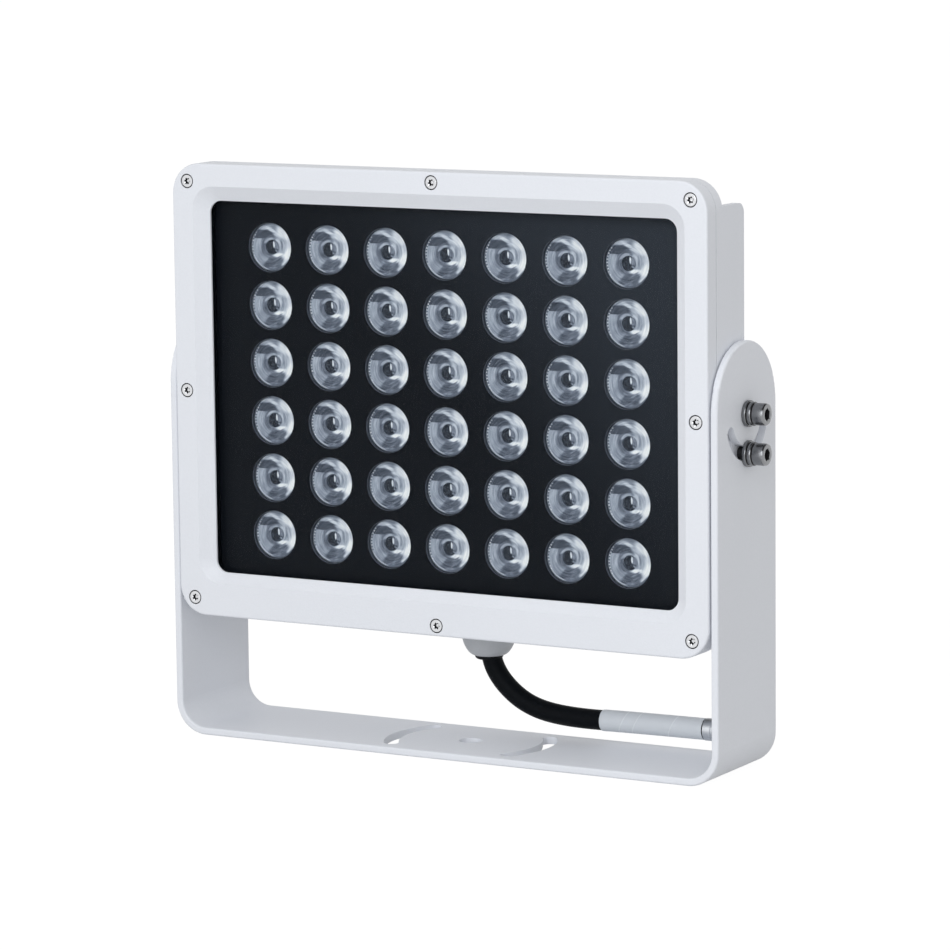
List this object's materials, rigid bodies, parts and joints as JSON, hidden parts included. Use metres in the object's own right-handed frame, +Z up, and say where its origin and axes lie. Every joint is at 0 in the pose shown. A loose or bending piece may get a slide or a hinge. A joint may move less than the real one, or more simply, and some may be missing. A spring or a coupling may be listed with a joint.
{
  "type": "security illuminator",
  "caption": "Flat rectangular floodlight for cameras, tilting in a U-shaped bracket, with rows of lenses behind glass, cooling fins behind and a short cable.",
  "frame": {"origin": "centre of the bracket's centre hole, on the bracket's underside", "axes": "+X to the lamp's right seen from its front, +Y to the back, +Z up; the light goes along -Y"},
  "size_m": [0.306, 0.0737, 0.2706],
  "materials": {
    "bracket_coat": "white powder coat with a fine grain on folded steel",
    "housing_coat": "white powder coat with a fine grain on die-cast aluminium",
    "stainless": "turned stainless steel",
    "black_rubber": "black rubber",
    "window_glass": "clear toughened glass",
    "black_panel": "satin black moulded plastic",
    "lens_plastic": "clear moulded plastic",
    "light_source": "ceramic base with a clear dome",
    "lamp_board": "dark solder mask on an aluminium-core board",
    "circuit_board": "laminate with solder mask",
    "board_parts": "dark ferrite, tape and moulded bodies",
    "capacitor_can": "aluminium can in a printed-free sleeve",
    "wire_jacket": "coloured wire insulation",
    "gland_plastic": "grey moulded nylon, matte",
    "cable_jacket": "black rubber jacket",
    "sleeve_film": "pale shrink film",
    "connector_shell": "bright turned aluminium"
  },
  "bodies": {
    "bracket": {"mounting_bracket": "bracket_coat"},
    "head": {"front_bezel": "housing_coat", "bezel_screws": "stainless", "window_gasket": "black_rubber", "front_window": "window_glass", "housing_seal": "black_rubber", "lens_panel": "black_panel", "led_board": "lamp_board", "board_screws": "stainless", "rear_housing": "housing_coat", "cover_seal": "black_rubber", "driver_cover": "housing_coat", "cover_screws": "stainless", "driver_board": "circuit_board", "driver_screws": "stainless", "driver_transformer": "board_parts", "driver_capacitors": "capacitor_can", "driver_choke": "board_parts", "terminal_block": "board_parts", "cable_cores": "wire_jacket", "led_lead": "wire_jacket", "lead_grommet": "black_rubber", "pivot_bolts": "stainless", "lock_bolts": "stainless", "flat_washers": "stainless", "spring_washers": "stainless", "gland_body": "gland_plastic", "gland_nut": "gland_plastic", "gland_bush": "black_rubber", "power_cable": "cable_jacket", "label_sleeve": "sleeve_film", "cable_connector": "connector_shell", "lens_row_1": "lens_plastic", "led_row_1": "light_source", "lens_row_2": "lens_plastic", "led_row_2": "light_source", "lens_row_3": "lens_plastic", "led_row_3": "light_source", "lens_row_4": "lens_plastic", "led_row_4": "light_source", "lens_row_5": "lens_plastic", "led_row_5": "light_source", "lens_row_6": "lens_plastic", "led_row_6": "light_source"}
  },
  "joints": [
    {"name": "head_tilt", "type": "hinge", "parent": "bracket", "child": "head", "pos_m": [0, 0, 0.165], "axis": [1, 0, 0], "range_deg": [-65, 65]}
  ]
}
